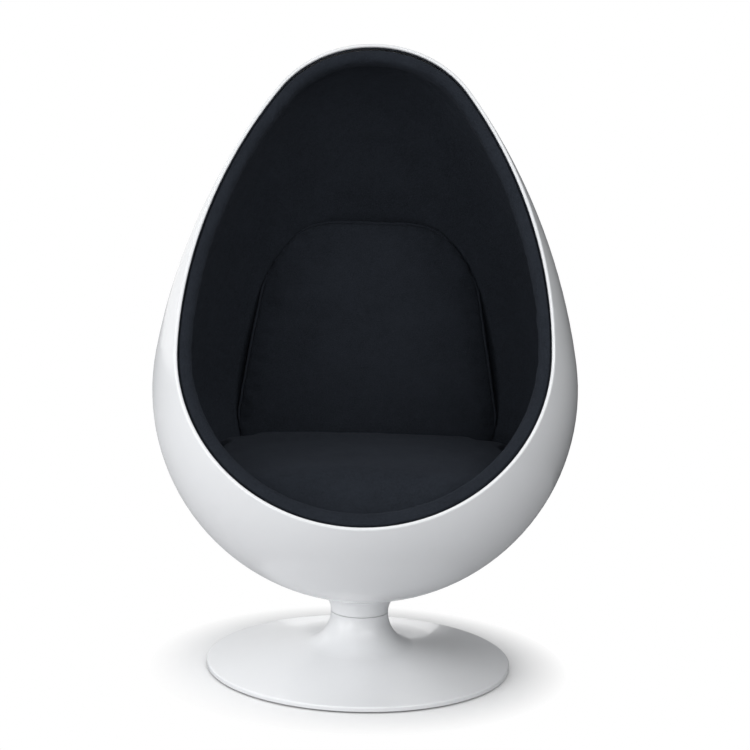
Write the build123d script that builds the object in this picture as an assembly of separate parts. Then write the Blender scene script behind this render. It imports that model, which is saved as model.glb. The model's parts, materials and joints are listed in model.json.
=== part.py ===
from build123d import *
import math
import os

# Pod chair: a glass-fibre egg shell, open at the front and upholstered inside, that turns
# on a low trumpet pedestal. Millimetres, +Z up. The origin is where the swivel axis meets
# the floor, the sitter looks along -Y, and +X is at the right of someone facing the chair.

# ---- Egg shell: two round caps joined by one long flank arc, all tangent ----
EGG_RADIUS = 428.0          # round lower cap, also the widest circle of the egg
EGG_LENGTH = 1138.0         # along the egg's own axis, from the lowest point to the crown
CROWN_RADIUS = 245.0
FLANK_RADIUS = 1238.0
EGG_LEAN = 11.5             # degrees that the egg's axis leans back
SHELL_WALL = 7.0
RIM_ROUND = 3.0             # rounding of the shell's cut edge
OPENING_LEAN = 30.0         # degrees that the plane of the opening leans back
OPENING_REACH = 227.0       # from the centre of the lower cap out to the plane of the opening

# ---- Lining: foam glued into the shell, with a knitted cover over it ----
FOAM_THICKNESS = 20.0
COVER_THICKNESS = 2.5
LINING_HOLE_RADIUS = 118.0  # bare circle left round the swivel mounting
ROLL_WIDTH = 31.0           # padded roll that finishes the lining at the opening
ROLL_DEPTH = 42.0
ROLL_RECESS = 3.0           # how far the roll lies behind the shell's rim
ROLL_FRONT_ROUND = 14.0
ROLL_BACK_ROUND = 9.0       # where the roll meets the lining

# ---- Seat: a foam block in the bowl, a loose cushion on it, a back cushion behind ----
SEAT_BLOCK_TOP = 335.0
SEAT_BLOCK_ROOM = 14.0      # room over the swivel hardware
CUSHION_THICKNESS = 122.0   # at the top of its crown
CUSHION_CROWN_RADIUS = 2100.0
CUSHION_MARGIN = 14.0       # from the lining to the cushion's sides, below its rounded border
CUSHION_FRONT_MARGIN = 4.0  # from the edge roll to the cushion's front
CUSHION_REAR_MARGIN = 7.0   # from the back cushion to the cushion's rear
CUSHION_FRONT_ROUND = 185.0
CUSHION_REAR_ROUND = 80.0
CUSHION_EDGE_ROUND = 36.0
CUSHION_DRAW = 6.0          # how far the rear side pulls in between its two seams
BACK_FRONT = 222.0          # from the egg's axis back to the foremost point of the back cushion
BACK_WIDTH_LOW = 566.0      # at the height of the egg's centre
BACK_WIDTH_HIGH = 440.0     # at its top
BACK_TOP = 385.0            # along the egg's axis, above the centre of the lower cap
BACK_CORNER_ROUND = 165.0
BACK_CROWN_RADIUS = 1500.0
BACK_CROWN_UP = 120.0       # along the egg's axis, up to the foremost point
BACK_EDGE_ROUND = 26.0
STRIP_WIDTH = 25.0          # hook-and-loop strips between the block and the cushion
STRIP_LENGTH = 300.0
STRIP_THICKNESS = 1.2
STRIP_SPACING = 220.0

# ---- Trumpet pedestal: an aluminium casting on a steel plate ----
BASE_RADIUS = 312.0
BASE_RIM_LOW = 4.0          # shadow gap under the casting's rim
BASE_RIM_TOP = 13.0
BASE_RIM_ROUND = 3.0
DISH_SLOPE = 3.0            # degrees, where the dish meets the rim
NECK_RADIUS = 59.0
SEAM_HEIGHT = 113.0         # top of the pedestal, at the narrow waist
FLARE_RADIUS = 72.0         # tight arc from the waist into the dish
CAST_WALL = 6.0
NECK_LIP = 8.0              # width of the casting's top edge
HUB_WALL = 10.0
HUB_LOW = 34.0
RIB_COUNT = 6
RIB_THICKNESS = 6.0
RIB_CLEARANCE = 2.0         # under the ribs, over the base plate
BASE_PLATE_THICKNESS = 6.0
BASE_PLATE_INSET = 14.0     # from the casting's outer edge in to the plate's edge
FLOOR_PAD_THICKNESS = 3.0
FLOOR_PAD_INSET = 4.0       # from the plate's edge in to the pad's edge
SCREW_COUNT = 6
SCREW_RADIUS = 2.5
SCREW_HEAD_RADIUS = 5.0
SCREW_LENGTH = 14.0
SCREW_BOSS_RADIUS = 8.0
SCREW_PITCH_RADIUS = 200.0

# ---- Swivel: a steel spindle that turns in two bronze bushes in the hub ----
SPINDLE_RADIUS = 20.0
SPIGOT_RADIUS = 15.0        # threaded top of the spindle
SPINDLE_CHAMFER = 1.5
BUSH_WALL = 6.0
BUSH_LENGTH = 30.0
BUSH_FLANGE_WIDTH = 8.0
BUSH_FLANGE_THICKNESS = 3.0
THRUST_WASHER_THICKNESS = 3.0
SEAM_GAP = 1.2              # dark line between the pedestal and the pod's collar
KEEPER_WIDTH = 12.0
KEEPER_THICKNESS = 3.0
RING_THICKNESS = 2.0
RING_WIDTH = 5.5
RING_GROOVE_DEPTH = 1.6
RING_OPENING = 9.0
SPINDLE_TAIL = 5.0          # spindle left below the retaining ring
SPINDLE_NUT_FLATS = 46.0
SPINDLE_NUT_HEIGHT = 18.0
SPINDLE_WASHER_WIDTH = 13.0
SPINDLE_WASHER_THICKNESS = 3.0
SPINDLE_END = 4.0           # spindle left above the nut

# ---- Mounting of the shell on the spindle ----
COLLAR_HEIGHT = 31.0        # on the axis, from the seam to the shell with its gasket
COLLAR_FLARE_RADIUS = 42.0
COLLAR_REACH = 19.0         # how far the collar's edge stands out from the waist
GASKET_THICKNESS = 1.5
GASKET_INSET = 1.0          # from the collar's edge in to the gasket's edge
PAD_RADIUS = 110.0          # plywood disc laminated into the bottom of the shell
PAD_THICKNESS = 22.0        # on the axis
PLATE_RADIUS = 84.0         # steel mounting plate
PLATE_THICKNESS = 8.0
BOLT_COUNT = 6
BOLT_RADIUS = 4.0
BOLT_PITCH_RADIUS = 44.0
BOLT_HEAD_FLATS = 13.0
BOLT_HEAD_HEIGHT = 5.5
BOLT_FLOOR = 6.0            # collar left under the bolt holes
BOLT_WASHER_RADIUS = 8.0
BOLT_WASHER_THICKNESS = 1.6
HEX_CHAMFER = 0.12          # share of the flats taken off the corners of nuts and bolt heads

# ---- Clearances ----
SEAT_GAP = 0.3              # between soft pieces that lie on each other
CLAMP_GAP = 0.05            # between hard curved faces that are pressed together
RUNNING_GAP = 0.05          # radial, spindle in its bushes
BOLT_GAP = 0.5              # radial, bolt in its clearance hole
SPINDLE_GAP = 1.0           # radial, spindle through the shell, the pad and the washers
POCKET_GAP = 2.0            # radial, round the base plate
TIP_GAP = 2.0               # past the tips of bolts and screws

# ---- Limits ----
ROUND_SHARE = 0.46          # largest share of a wall that the rounding of its edge may take
TOLERANCE = 0.01            # how far an edge or face may lie from the plane it is picked by
EDGE_SAMPLES = (0, 0.3, 0.7, 1)

# ---- Places worked out from the sizes above ----
NECK_BOTTOM = SEAM_HEIGHT + SEAM_GAP
SHELL_LOW = NECK_BOTTOM + COLLAR_HEIGHT
EGG_CENTRE_Z = SHELL_LOW + EGG_RADIUS
OUT = Vector(0, -math.cos(math.radians(OPENING_LEAN)), math.sin(math.radians(OPENING_LEAN)))
FOAM_INSET = SHELL_WALL + SEAT_GAP
COVER_INSET = FOAM_INSET + FOAM_THICKNESS + SEAT_GAP
LINING_INSET = COVER_INSET + COVER_THICKNESS
CUSHION_INSET = LINING_INSET + SEAT_GAP
ROLL_BACK = ROLL_RECESS + ROLL_DEPTH
CUSHION_BOTTOM = SEAT_BLOCK_TOP + 2 * STRIP_THICKNESS
CUSHION_TOP = CUSHION_BOTTOM + CUSHION_THICKNESS
PAD_INSET = SHELL_WALL + CLAMP_GAP
PAD_TOP = SHELL_LOW + PAD_INSET + PAD_THICKNESS
PLATE_TOP = PAD_TOP + PLATE_THICKNESS
NUT_LOW = PLATE_TOP + SPINDLE_WASHER_THICKNESS
NUT_TOP = NUT_LOW + SPINDLE_NUT_HEIGHT
SPINDLE_TOP = NUT_TOP + SPINDLE_END
COLLAR_EDGE_RADIUS = NECK_RADIUS + COLLAR_REACH
SPINDLE_BORE = SPINDLE_RADIUS + RUNNING_GAP
SPIGOT_BORE = SPIGOT_RADIUS + CLAMP_GAP
BUSH_OUTER = SPINDLE_BORE + BUSH_WALL
BUSH_FLANGE_RADIUS = BUSH_OUTER + BUSH_FLANGE_WIDTH
HUB_BORE = BUSH_OUTER + CLAMP_GAP
HUB_TOP = NECK_BOTTOM - THRUST_WASHER_THICKNESS - BUSH_FLANGE_THICKNESS
BUSH_BOTTOM = HUB_LOW - BUSH_FLANGE_THICKNESS
KEEPER_BOTTOM = BUSH_BOTTOM - KEEPER_THICKNESS
RING_BOTTOM = KEEPER_BOTTOM - RING_THICKNESS
SPINDLE_BOTTOM = RING_BOTTOM - SPINDLE_TAIL
GROOVE_RADIUS = SPINDLE_RADIUS - RING_GROOVE_DEPTH
BASE_PLATE_TOP = FLOOR_PAD_THICKNESS + BASE_PLATE_THICKNESS
BASE_PLATE_RADIUS = BASE_RADIUS - BASE_PLATE_INSET
SCREW_TIP = FLOOR_PAD_THICKNESS + SCREW_LENGTH
BOLT_TIP = NECK_BOTTOM + BOLT_FLOOR + TIP_GAP
BOLT_SEAT = PLATE_TOP + BOLT_WASHER_THICKNESS
REACH = 2 * EGG_LENGTH      # larger than the chair, for half spaces
UPWARD = (Align.CENTER, Align.CENTER, Align.MIN)
DOWNWARD = (Align.CENTER, Align.CENTER, Align.MAX)


def cylinder(radius, low, high):
    """Upright cylinder on the swivel axis."""
    return Pos(0, 0, low) * Cylinder(radius, high - low, align=UPWARD)


def tube(outer, inner, low, high):
    """Upright round tube on the swivel axis."""
    return cylinder(outer, low, high) - cylinder(inner, low, high)


def ring_of(solid, count, radius):
    """Copies of a solid, evenly spaced on a circle round the swivel axis."""
    return [place * solid for place in PolarLocations(radius, count)]


def above(height):
    """Half space above a height."""
    return Pos(0, 0, height) * Box(REACH, REACH, REACH, align=UPWARD)


def below(height):
    """Half space below a height."""
    return Pos(0, 0, height) * Box(REACH, REACH, REACH, align=DOWNWARD)


def hexagon(flats, low, high):
    """Hexagonal nut or bolt head with its corners turned down at both ends."""
    across = flats / math.cos(math.radians(30))
    blank = cylinder(across / 2, low, high)
    corner = HEX_CHAMFER * flats
    blank = chamfer(blank.edges().filter_by(GeomType.CIRCLE), corner / 2, corner)
    return blank & extrude(Pos(0, 0, low) * RegularPolygon(across / 2, 6), high - low)


def turned(*edges):
    """Solid turned about the swivel axis from a closed half outline (radius, height)."""
    return revolve(Plane.XZ * make_face(list(edges)), Axis.Z)


def in_egg(solid):
    """Moves a solid from the egg's own axes, centred on its lower cap, into the chair."""
    return Pos(0, 0, EGG_CENTRE_Z) * Rot(-EGG_LEAN, 0, 0) * solid


def arc_to(centre, radius, start, end):
    """Arc round a centre between two directions in degrees."""
    return CenterArc(centre, radius, start, end - start)


def egg(inset):
    """Whole egg, with its surface moved in by the inset: two caps and the flank between."""
    cap_distance = EGG_LENGTH - EGG_RADIUS - CROWN_RADIUS
    to_cap = FLANK_RADIUS - EGG_RADIUS
    to_crown = FLANK_RADIUS - CROWN_RADIUS
    flank_up = (to_cap**2 - to_crown**2 + cap_distance**2) / (2 * cap_distance)
    flank_out = math.sqrt(to_cap**2 - flank_up**2)
    cap_end = math.degrees(math.atan2(-flank_up, flank_out))
    crown_start = math.degrees(math.atan2(cap_distance - flank_up, flank_out))
    cap = arc_to((0, 0), EGG_RADIUS - inset, -90, cap_end)
    flank = arc_to((-flank_out, flank_up), FLANK_RADIUS - inset, cap_end, crown_start)
    crown = arc_to((0, cap_distance), CROWN_RADIUS - inset, crown_start, 90)
    return in_egg(turned(cap, flank, crown, Line(crown @ 1, cap @ 0)))


def opening_plane(setback):
    """Plane of the opening, moved back into the pod by the setback."""
    centre = Vector(0, 0, EGG_CENTRE_Z)
    return Plane(origin=centre + OUT * (OPENING_REACH - setback), x_dir=(1, 0, 0), z_dir=OUT)


def behind_opening(setback):
    """Half space behind the opening."""
    return opening_plane(setback) * Box(REACH, REACH, REACH, align=DOWNWARD)


def edges_on(solid, plane):
    """Edges of a solid that lie in a plane."""
    def distance(edge):
        return max(abs(plane.to_local_coords(edge @ share).Z) for share in EDGE_SAMPLES)
    return [edge for edge in solid.edges() if distance(edge) < TOLERANCE]


def round_over(edges, radius, wall):
    """Rounds edges, by less than the radius where the wall is too thin for it."""
    return fillet(edges, min(radius, ROUND_SHARE * wall))


# ---- Pod ----

def shell():
    """Egg shell with its rounded rim and the holes for the spindle and the bolts."""
    body = (egg(0) - egg(SHELL_WALL)) & behind_opening(0)
    body = round_over(edges_on(body, opening_plane(0)), RIM_ROUND, SHELL_WALL)
    return body - mounting_holes()


def mounting_holes():
    """Clearance holes for the spindle and the bolts, from the collar up through the plate."""
    bolt_hole = cylinder(BOLT_RADIUS + BOLT_GAP, NECK_BOTTOM, PLATE_TOP)
    spindle_hole = cylinder(SPINDLE_RADIUS + SPINDLE_GAP, NECK_BOTTOM, PAD_TOP)
    return ring_of(bolt_hole, BOLT_COUNT, BOLT_PITCH_RADIUS) + [spindle_hole]


def lining(inset, thickness):
    """One layer of the lining, from the swivel mounting up to the edge roll."""
    layer = (egg(inset) - egg(inset + thickness)) & behind_opening(ROLL_BACK + SEAT_GAP)
    return layer - cylinder(LINING_HOLE_RADIUS, 0, EGG_CENTRE_Z)


def edge_roll():
    """Padded roll round the opening, standing proud of the lining behind it."""
    back = opening_plane(ROLL_BACK)
    band = egg(FOAM_INSET) - egg(FOAM_INSET + ROLL_WIDTH)
    band = (band & behind_opening(ROLL_RECESS)) - behind_opening(ROLL_BACK)
    rear_face = min(band.faces(), key=lambda face: abs(back.to_local_coords(face.center()).Z))
    band = round_over(rear_face.inner_wires()[0].edges(), ROLL_BACK_ROUND, ROLL_WIDTH)
    return round_over(edges_on(band, opening_plane(ROLL_RECESS)), ROLL_FRONT_ROUND, ROLL_WIDTH)


def seat_block():
    """Foam block that fills the bowl and carries the cushion, hollow over the swivel hardware."""
    room = cylinder(LINING_HOLE_RADIUS, 0, SPINDLE_TOP + SEAT_BLOCK_ROOM)
    return (egg(CUSHION_INSET) & below(SEAT_BLOCK_TOP)) - room


def strips(low):
    """Two strips of hook-and-loop tape across the top of the seat block."""
    strip = Box(STRIP_LENGTH, STRIP_WIDTH, STRIP_THICKNESS, align=UPWARD)
    return [Pos(0, side * STRIP_SPACING / 2, low) * strip for side in (-1, 1)]


def bowl_radius(height):
    """Inner radius of the lining's round lower part at a height."""
    return math.sqrt((EGG_RADIUS - CUSHION_INSET)**2 - (height - EGG_CENTRE_Z)**2)


def roll_back_y(height):
    """Where the plane behind the edge roll stands at a height, on the chair's centre line."""
    lean = math.radians(OPENING_LEAN)
    reach = OPENING_REACH - ROLL_BACK - SEAT_GAP
    return -(reach - math.sin(lean) * (height - EGG_CENTRE_Z)) / math.cos(lean)


def back_cushion_y(height):
    """Where the foremost plane of the back cushion stands at a height."""
    lean = math.radians(EGG_LEAN)
    return (BACK_FRONT + math.sin(lean) * (height - EGG_CENTRE_Z)) / math.cos(lean)


def in_front_of_back():
    """Half space in front of the back cushion."""
    half = Box(REACH, REACH, REACH, align=(Align.CENTER, Align.MAX, Align.CENTER))
    return in_egg(Pos(0, BACK_FRONT - SEAT_GAP, 0) * half)


def seat_cushion():
    """Seat cushion: crowned, its front leaning like the opening, its sides narrowed by the bowl."""
    lean = math.radians(OPENING_LEAN)
    width = 2 * (bowl_radius(CUSHION_TOP - 2 * CUSHION_EDGE_ROUND) - CUSHION_MARGIN)
    rear = back_cushion_y(CUSHION_TOP) - CUSHION_REAR_MARGIN
    outline = Pos(0, rear) * Rectangle(width, REACH, align=(Align.CENTER, Align.MAX))
    outline = fillet(outline.vertices().sort_by(Axis.Y)[-2:], CUSHION_REAR_ROUND)
    body = extrude(Pos(0, 0, CUSHION_BOTTOM) * outline, CUSHION_THICKNESS)
    front = roll_back_y(CUSHION_BOTTOM) + CUSHION_FRONT_MARGIN
    outline = Pos(0, front) * Rectangle(width, REACH, align=(Align.CENTER, Align.MIN))
    outline = fillet(outline.vertices().sort_by(Axis.Y)[:2], CUSHION_FRONT_ROUND)
    outline = Pos(0, 0, CUSHION_BOTTOM) * outline
    body &= extrude(outline, CUSHION_THICKNESS / math.cos(lean), dir=(0, math.sin(lean), math.cos(lean)))
    body &= Pos(0, 0, CUSHION_TOP - CUSHION_CROWN_RADIUS) * Sphere(CUSHION_CROWN_RADIUS)
    body = fillet(crown_edges(body), CUSHION_EDGE_ROUND) & egg(CUSHION_INSET)
    return (body & in_front_of_back()) - rear_scoop()


def rear_scoop():
    """Lying cylinder that hollows the rear side of the seat cushion between its seams."""
    half_height = CUSHION_THICKNESS / 2
    radius = (half_height**2 + CUSHION_DRAW**2) / (2 * CUSHION_DRAW)
    middle = CUSHION_BOTTOM + half_height
    deepest = back_cushion_y(middle) - SEAT_GAP - CUSHION_DRAW
    axis = Pos(0, deepest, middle) * Rot(-EGG_LEAN, 0, 0) * Pos(0, radius, 0) * Rot(0, 90, 0)
    return axis * Cylinder(radius, REACH)


def crown_edges(solid):
    """Edges round the crowned face of a cushion."""
    return solid.faces().filter_by(GeomType.SPHERE)[0].outer_wire().edges()


def back_cushion():
    """Back cushion: tapers upwards to a round top, with a crowned front, and fits the egg behind."""
    low = BACK_WIDTH_LOW / 2
    high = BACK_WIDTH_HIGH / 2
    foot = SEAT_BLOCK_TOP - EGG_CENTRE_Z - CUSHION_THICKNESS
    flare = (low - high) / BACK_TOP * -foot
    corners = [(-low - flare, foot), (low + flare, foot), (high, BACK_TOP), (-high, BACK_TOP)]
    outline = make_face(Polyline(corners, close=True))
    outline = fillet(outline.vertices().sort_by(Axis.Y)[-2:], BACK_CORNER_ROUND)
    body = extrude(Plane.XZ * outline, -EGG_RADIUS)
    body &= Pos(0, BACK_FRONT + BACK_CROWN_RADIUS, BACK_CROWN_UP) * Sphere(BACK_CROWN_RADIUS)
    body = in_egg(fillet(crown_edges(body), BACK_EDGE_ROUND))
    return body & egg(CUSHION_INSET) & above(SEAT_BLOCK_TOP)


# ---- Mounting and swivel, on the pod ----

def collar():
    """Flared aluminium collar from the swivel seam up to the shell, with tapped bolt holes."""
    top = NECK_BOTTOM + COLLAR_FLARE_RADIUS
    flare = arc_to((NECK_RADIUS + COLLAR_FLARE_RADIUS, NECK_BOTTOM), COLLAR_FLARE_RADIUS, 180, 90)
    body = turned(
        Line((0, NECK_BOTTOM), flare @ 0),
        flare,
        Line(flare @ 1, (0, top)),
        Line((0, top), (0, NECK_BOTTOM)),
    )
    body &= cylinder(COLLAR_EDGE_RADIUS, NECK_BOTTOM, top)
    body -= egg(-(GASKET_THICKNESS + 2 * CLAMP_GAP))
    body -= cylinder(SPINDLE_BORE, NECK_BOTTOM, top)
    tapped = cylinder(BOLT_RADIUS + CLAMP_GAP, NECK_BOTTOM + BOLT_FLOOR, top)
    return body - ring_of(tapped, BOLT_COUNT, BOLT_PITCH_RADIUS)


def gasket():
    """Rubber ring between the collar and the round underside of the shell."""
    layer = egg(-(GASKET_THICKNESS + CLAMP_GAP)) - egg(-CLAMP_GAP)
    layer &= cylinder(COLLAR_EDGE_RADIUS - GASKET_INSET, NECK_BOTTOM, PAD_TOP)
    return layer - mounting_holes()


def mount_pad():
    """Plywood disc, hollowed to the shell below and flat on top."""
    return (egg(PAD_INSET) & cylinder(PAD_RADIUS, NECK_BOTTOM, PAD_TOP)) - mounting_holes()


def mount_plate():
    """Round steel plate that spreads the spindle's load over the pad."""
    plate = tube(PLATE_RADIUS, SPIGOT_BORE, PAD_TOP, PLATE_TOP)
    return plate - mounting_holes()


def mount_bolts():
    """Hexagon bolts from the plate down into the collar."""
    shank = cylinder(BOLT_RADIUS, BOLT_TIP, BOLT_SEAT)
    head = hexagon(BOLT_HEAD_FLATS, BOLT_SEAT, BOLT_SEAT + BOLT_HEAD_HEIGHT)
    return ring_of(shank + head, BOLT_COUNT, BOLT_PITCH_RADIUS)


def bolt_washers():
    """Washers under the bolt heads."""
    washer = tube(BOLT_WASHER_RADIUS, BOLT_RADIUS + CLAMP_GAP, PLATE_TOP, BOLT_SEAT)
    return ring_of(washer, BOLT_COUNT, BOLT_PITCH_RADIUS)


def spindle():
    """Steel spindle: shoulder under the plate, threaded spigot above, ring groove near its foot."""
    body = cylinder(SPINDLE_RADIUS, SPINDLE_BOTTOM, PAD_TOP)
    body += cylinder(SPIGOT_RADIUS, PAD_TOP, SPINDLE_TOP)
    circles = body.edges().filter_by(GeomType.CIRCLE).sort_by(Axis.Z)
    body = chamfer([circles[0], circles[-1]], SPINDLE_CHAMFER)
    return body - tube(SPINDLE_BORE, GROOVE_RADIUS, RING_BOTTOM, KEEPER_BOTTOM)


def spindle_washer():
    """Thick washer between the plate and the spindle nut."""
    return tube(SPIGOT_RADIUS + SPINDLE_WASHER_WIDTH, SPIGOT_BORE, PLATE_TOP, NUT_LOW)


def spindle_nut():
    """Hexagon nut that holds the plate down on the spindle's shoulder."""
    return hexagon(SPINDLE_NUT_FLATS, NUT_LOW, NUT_TOP) - cylinder(SPIGOT_BORE, NUT_LOW, NUT_TOP)


def keeper_washer():
    """Washer under the lower bush that stops the pod from lifting off."""
    return tube(SPINDLE_RADIUS + KEEPER_WIDTH, SPINDLE_BORE, KEEPER_BOTTOM, BUSH_BOTTOM)


def retaining_ring():
    """Open spring ring in the spindle's groove."""
    ring = tube(GROOVE_RADIUS + RING_WIDTH, GROOVE_RADIUS + CLAMP_GAP, RING_BOTTOM, KEEPER_BOTTOM)
    rearward = (Align.CENTER, Align.MIN, Align.MIN)
    mouth = Box(RING_OPENING, 2 * SPINDLE_RADIUS, RING_THICKNESS, align=rearward)
    return ring - Pos(0, 0, RING_BOTTOM) * mouth


# ---- Pedestal ----

def trumpet(inset):
    """Pedestal's outer form, moved in by the inset: a tight flare and a wide dish, tangent."""
    flare_centre = Vector(NECK_RADIUS + FLARE_RADIUS, SEAM_HEIGHT)
    slope = math.radians(DISH_SLOPE)
    up = Vector(math.sin(slope), math.cos(slope))
    span = Vector(BASE_RADIUS, BASE_RIM_TOP) - flare_centre
    dish_radius = (FLARE_RADIUS**2 - span.dot(span)) / (2 * (span.dot(up) + FLARE_RADIUS))
    dish_centre = Vector(BASE_RADIUS, BASE_RIM_TOP) + up * dish_radius
    towards = flare_centre - dish_centre
    meet = 360 + math.degrees(math.atan2(towards.Y, towards.X))
    flare = arc_to(tuple(flare_centre), FLARE_RADIUS + inset, 180, meet)
    dish = arc_to(tuple(dish_centre), dish_radius + inset, meet, 270 - DISH_SLOPE)
    rim = dish @ 1
    return turned(
        Line((0, SEAM_HEIGHT), flare @ 0),
        flare,
        dish,
        Line(rim, (rim.X, BASE_RIM_LOW)),
        Line((rim.X, BASE_RIM_LOW), (0, BASE_RIM_LOW)),
        Line((0, BASE_RIM_LOW), (0, SEAM_HEIGHT)),
    )


def base_casting():
    """Trumpet casting: thin wall, hub on ribs inside, screw bosses, pocket for the swivel on top."""
    body = trumpet(0)
    rim = edges_on(body, Plane.XY.offset(BASE_RIM_TOP))
    body = round_over(rim, BASE_RIM_ROUND, BASE_RIM_TOP - BASE_RIM_LOW)
    cavity = trumpet(CAST_WALL) & below(HUB_TOP - CAST_WALL)
    hub = cylinder(HUB_BORE + HUB_WALL, HUB_LOW, HUB_TOP)
    rib = Box(BASE_RADIUS, RIB_THICKNESS, REACH, align=(Align.MIN, Align.CENTER, Align.MIN))
    rib = Pos(0, 0, BASE_PLATE_TOP + RIB_CLEARANCE) * rib
    ribs = [Rot(0, 0, 360 / RIB_COUNT * (k + 0.5)) * rib for k in range(RIB_COUNT)]
    boss = cylinder(SCREW_BOSS_RADIUS, BASE_PLATE_TOP, SEAM_HEIGHT)
    inside = [part & cavity for part in ribs + ring_of(boss, SCREW_COUNT, SCREW_PITCH_RADIUS)]
    body = body - cavity + inside + hub
    body -= cylinder(BASE_PLATE_RADIUS + POCKET_GAP, BASE_RIM_LOW, BASE_PLATE_TOP)
    body -= cylinder(NECK_RADIUS - NECK_LIP, HUB_TOP, SEAM_HEIGHT)
    body -= cylinder(HUB_BORE + HUB_WALL, 0, HUB_LOW)
    body -= cylinder(HUB_BORE, 0, SEAM_HEIGHT)
    tapped = cylinder(SCREW_RADIUS + CLAMP_GAP, BASE_PLATE_TOP, SCREW_TIP + TIP_GAP)
    return body - ring_of(tapped, SCREW_COUNT, SCREW_PITCH_RADIUS)


def screw_form(grow):
    """Countersunk screw, point up, or with a growth the hole that takes it."""
    shank = cylinder(SCREW_RADIUS + grow, FLOOR_PAD_THICKNESS, SCREW_TIP)
    depth = SCREW_HEAD_RADIUS - SCREW_RADIUS
    head = Cone(SCREW_HEAD_RADIUS + grow, SCREW_RADIUS + grow, depth, align=UPWARD)
    return shank + Pos(0, 0, FLOOR_PAD_THICKNESS) * head


def base_plate():
    """Steel plate that closes and weights the pedestal, countersunk for its screws."""
    plate = cylinder(BASE_PLATE_RADIUS, FLOOR_PAD_THICKNESS, BASE_PLATE_TOP)
    return plate - ring_of(screw_form(BOLT_GAP), SCREW_COUNT, SCREW_PITCH_RADIUS)


def plate_screws():
    """Countersunk screws from the plate up into the casting's bosses."""
    return ring_of(screw_form(0), SCREW_COUNT, SCREW_PITCH_RADIUS)


def floor_pad():
    """Felt disc that the chair stands on."""
    return cylinder(BASE_PLATE_RADIUS - FLOOR_PAD_INSET, 0, FLOOR_PAD_THICKNESS)


def upper_bush():
    """Bronze bush at the top of the hub, flange up."""
    return flanged_bush(HUB_TOP - BUSH_LENGTH, HUB_TOP, HUB_TOP)


def lower_bush():
    """Bronze bush at the foot of the hub, flange down."""
    return flanged_bush(HUB_LOW, HUB_LOW + BUSH_LENGTH, BUSH_BOTTOM)


def flanged_bush(low, high, flange_low):
    """Bush with a flange at one end."""
    sleeve = tube(BUSH_OUTER, SPINDLE_BORE, low, high)
    return sleeve + tube(BUSH_FLANGE_RADIUS, SPINDLE_BORE, flange_low, flange_low + BUSH_FLANGE_THICKNESS)


def thrust_washer():
    """Plastic washer that carries the pod's collar on the upper bush."""
    low = HUB_TOP + BUSH_FLANGE_THICKNESS
    return tube(BUSH_FLANGE_RADIUS, SPINDLE_RADIUS + SPINDLE_GAP, low, NECK_BOTTOM)


PARTS = {
    "shell": shell,
    "lining_foam": lambda: lining(FOAM_INSET, FOAM_THICKNESS),
    "lining_cover": lambda: lining(COVER_INSET, COVER_THICKNESS),
    "edge_roll": edge_roll,
    "seat_block": seat_block,
    "hook_strips": lambda: strips(SEAT_BLOCK_TOP),
    "loop_strips": lambda: strips(SEAT_BLOCK_TOP + STRIP_THICKNESS),
    "seat_cushion": seat_cushion,
    "back_cushion": back_cushion,
    "collar": collar,
    "collar_gasket": gasket,
    "mount_pad": mount_pad,
    "mount_plate": mount_plate,
    "mount_bolts": mount_bolts,
    "bolt_washers": bolt_washers,
    "spindle": spindle,
    "spindle_washer": spindle_washer,
    "spindle_nut": spindle_nut,
    "keeper_washer": keeper_washer,
    "retaining_ring": retaining_ring,
    "base_casting": base_casting,
    "base_plate": base_plate,
    "plate_screws": plate_screws,
    "floor_pad": floor_pad,
    "upper_bush": upper_bush,
    "lower_bush": lower_bush,
    "thrust_washer": thrust_washer,
}

os.makedirs("parts", exist_ok=True)
for node, make in PARTS.items():
    made = make()
    solids = [solid for item in (made if isinstance(made, list) else [made]) for solid in item.solids()]
    export_step(Compound(children=solids) if len(solids) > 1 else solids[0], f"parts/{node}.step")
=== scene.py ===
"""Pod chair: the looks of an upholstered glass-fibre egg on a trumpet pedestal."""
import json
import logging
import math
from collections.abc import Callable
from dataclasses import dataclass, field
from enum import Enum

import bmesh
import bpy
from mathutils import Matrix, Vector, noise
from mathutils.bvhtree import BVHTree
from mathutils.kdtree import KDTree


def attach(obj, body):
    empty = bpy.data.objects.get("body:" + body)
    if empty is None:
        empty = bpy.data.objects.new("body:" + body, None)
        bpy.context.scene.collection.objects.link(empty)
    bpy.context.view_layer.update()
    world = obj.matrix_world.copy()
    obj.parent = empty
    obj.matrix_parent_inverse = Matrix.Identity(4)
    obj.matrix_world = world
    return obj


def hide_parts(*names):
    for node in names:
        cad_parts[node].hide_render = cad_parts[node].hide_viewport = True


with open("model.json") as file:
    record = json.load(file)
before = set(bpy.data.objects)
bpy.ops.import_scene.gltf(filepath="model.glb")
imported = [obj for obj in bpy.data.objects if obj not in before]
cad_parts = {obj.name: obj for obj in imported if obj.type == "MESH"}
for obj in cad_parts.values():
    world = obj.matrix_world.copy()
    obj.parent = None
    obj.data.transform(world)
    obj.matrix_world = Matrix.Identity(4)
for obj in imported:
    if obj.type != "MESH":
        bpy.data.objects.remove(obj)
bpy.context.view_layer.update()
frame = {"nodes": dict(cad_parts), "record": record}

LOG = logging.getLogger("pod_chair")
UP = Vector((0, 0, 1))
NODE_WELD = 0.00002
EGG_WELD = 0.000001
CORD_WELD = 0.00001
CUT_TOLERANCE = 0.0000001

Rgb = tuple[float, float, float]
Socket = bpy.types.NodeSocket
Node = bpy.types.Node
Piece = bpy.types.Object
Form = bmesh.types.BMesh
Edge = bmesh.types.BMEdge
Vert = bmesh.types.BMVert


# ---------------------------------------------------------------- shader trees

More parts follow.
